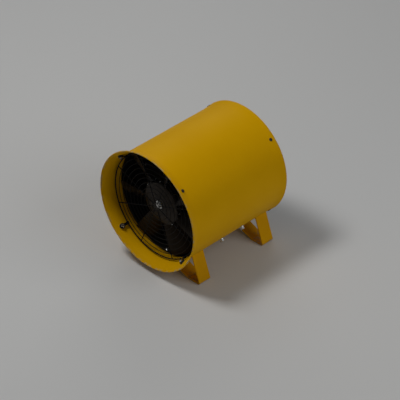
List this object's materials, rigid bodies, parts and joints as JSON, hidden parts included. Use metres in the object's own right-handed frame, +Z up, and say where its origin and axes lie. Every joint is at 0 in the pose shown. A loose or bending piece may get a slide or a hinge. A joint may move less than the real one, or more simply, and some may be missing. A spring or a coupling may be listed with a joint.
{
  "type": "axial air mover",
  "caption": "Portable duct fan: yellow steel drum with a bell-mouth inlet, wire guards, bladed fan on a cradle-held motor, strap feet and a side switch box.",
  "frame": {"origin": "centre of the footprint's box, on the floor under the feet", "axes": "+Z up; -Y is the inlet (front), +Y the outlet; +X is the side without the switch box"},
  "size_m": [0.4696, 0.462, 0.4712],
  "materials": {
    "drum_paint": "satin, smooth enamel",
    "foot_paint": "satin, smooth enamel",
    "guard_wire": "satin black coating",
    "zinc": "bright zinc plate",
    "dark_screw": "black oxide",
    "pad_rubber": "matt",
    "motor_paint": "satin dark blue-grey enamel",
    "cast_bell": "as cast",
    "fan_cast": "satin black coat on cast alloy",
    "shaft_steel": "ground",
    "lamination": "stacked steel sheets",
    "copper_coil": "varnished copper wire",
    "cage_alloy": "as cast",
    "can_metal": "drawn can",
    "box_grey": "fine texture",
    "switch_black": "gloss",
    "rocker_red": "gloss",
    "gland_nylon": "smooth",
    "sleeve_grey": "smooth"
  },
  "bodies": {
    "housing": {"barrel_shell": "drum_paint", "front_guard": "guard_wire", "rear_guard": "guard_wire", "guard_screws": "dark_screw", "guard_pads": "pad_rubber", "front_guard_clips": "guard_wire", "rear_guard_clips": "guard_wire", "guard_nuts": "zinc", "front_foot": "foot_paint", "rear_foot": "foot_paint", "foot_bolts": "zinc", "foot_nuts": "zinc", "motor_cradle": "motor_paint", "cradle_bolts": "zinc", "cradle_nuts": "zinc", "motor_feet": "motor_paint", "motor_foot_bolts": "zinc", "motor_foot_nuts": "zinc", "motor_shell": "motor_paint", "front_end_bell": "cast_bell", "rear_end_bell": "cast_bell", "through_bolts": "zinc", "stator_core": "lamination", "stator_windings": "copper_coil", "bearing_outer_races": "shaft_steel", "run_capacitor": "can_metal", "capacitor_cover": "motor_paint", "capacitor_screws": "zinc", "switch_box": "box_grey", "box_cover": "box_grey", "cover_screws": "zinc", "box_screws": "zinc", "box_nuts": "zinc", "switch_body": "switch_black", "rocker_pin": "shaft_steel", "cord_gland": "gland_nylon", "gland_nut": "gland_nylon", "wall_grommet": "pad_rubber", "conduit": "sleeve_grey", "conduit_nut": "gland_nylon"},
    "fan": {"motor_shaft": "shaft_steel", "shaft_key": "shaft_steel", "rotor_core": "lamination", "rotor_cage": "cage_alloy", "bearing_inner_races": "shaft_steel", "fan_hub": "fan_cast", "hub_set_screw": "dark_screw", "hub_end_bolt": "zinc", "blade_screws": "zinc", "fan_blade_1": "fan_cast", "fan_blade_2": "fan_cast", "fan_blade_3": "fan_cast", "fan_blade_4": "fan_cast", "fan_blade_5": "fan_cast", "fan_blade_6": "fan_cast", "fan_blade_7": "fan_cast"},
    "ball_sets": {"bearing_balls": "shaft_steel", "ball_cages": "shaft_steel"},
    "rocker": {"switch_rocker": "rocker_red"}
  },
  "joints": [
    {"name": "fan_spin", "type": "hinge", "parent": "housing", "child": "fan", "pos_m": [0.0124, -0.143, 0.249], "axis": [0, 1, 0], "continuous": true},
    {"name": "ball_orbit", "type": "hinge", "parent": "housing", "child": "ball_sets", "pos_m": [0.0124, 0.015, 0.249], "axis": [0, 1, 0], "continuous": true},
    {"name": "switch_rock", "type": "hinge", "parent": "housing", "child": "rocker", "pos_m": [-0.2271, 0, 0.249], "axis": [0, 1, 0], "range_deg": [-20, 0]}
  ],
  "couplings": [
    {"joint": "ball_orbit", "follows": "fan_spin", "ratio": 0.38}
  ]
}
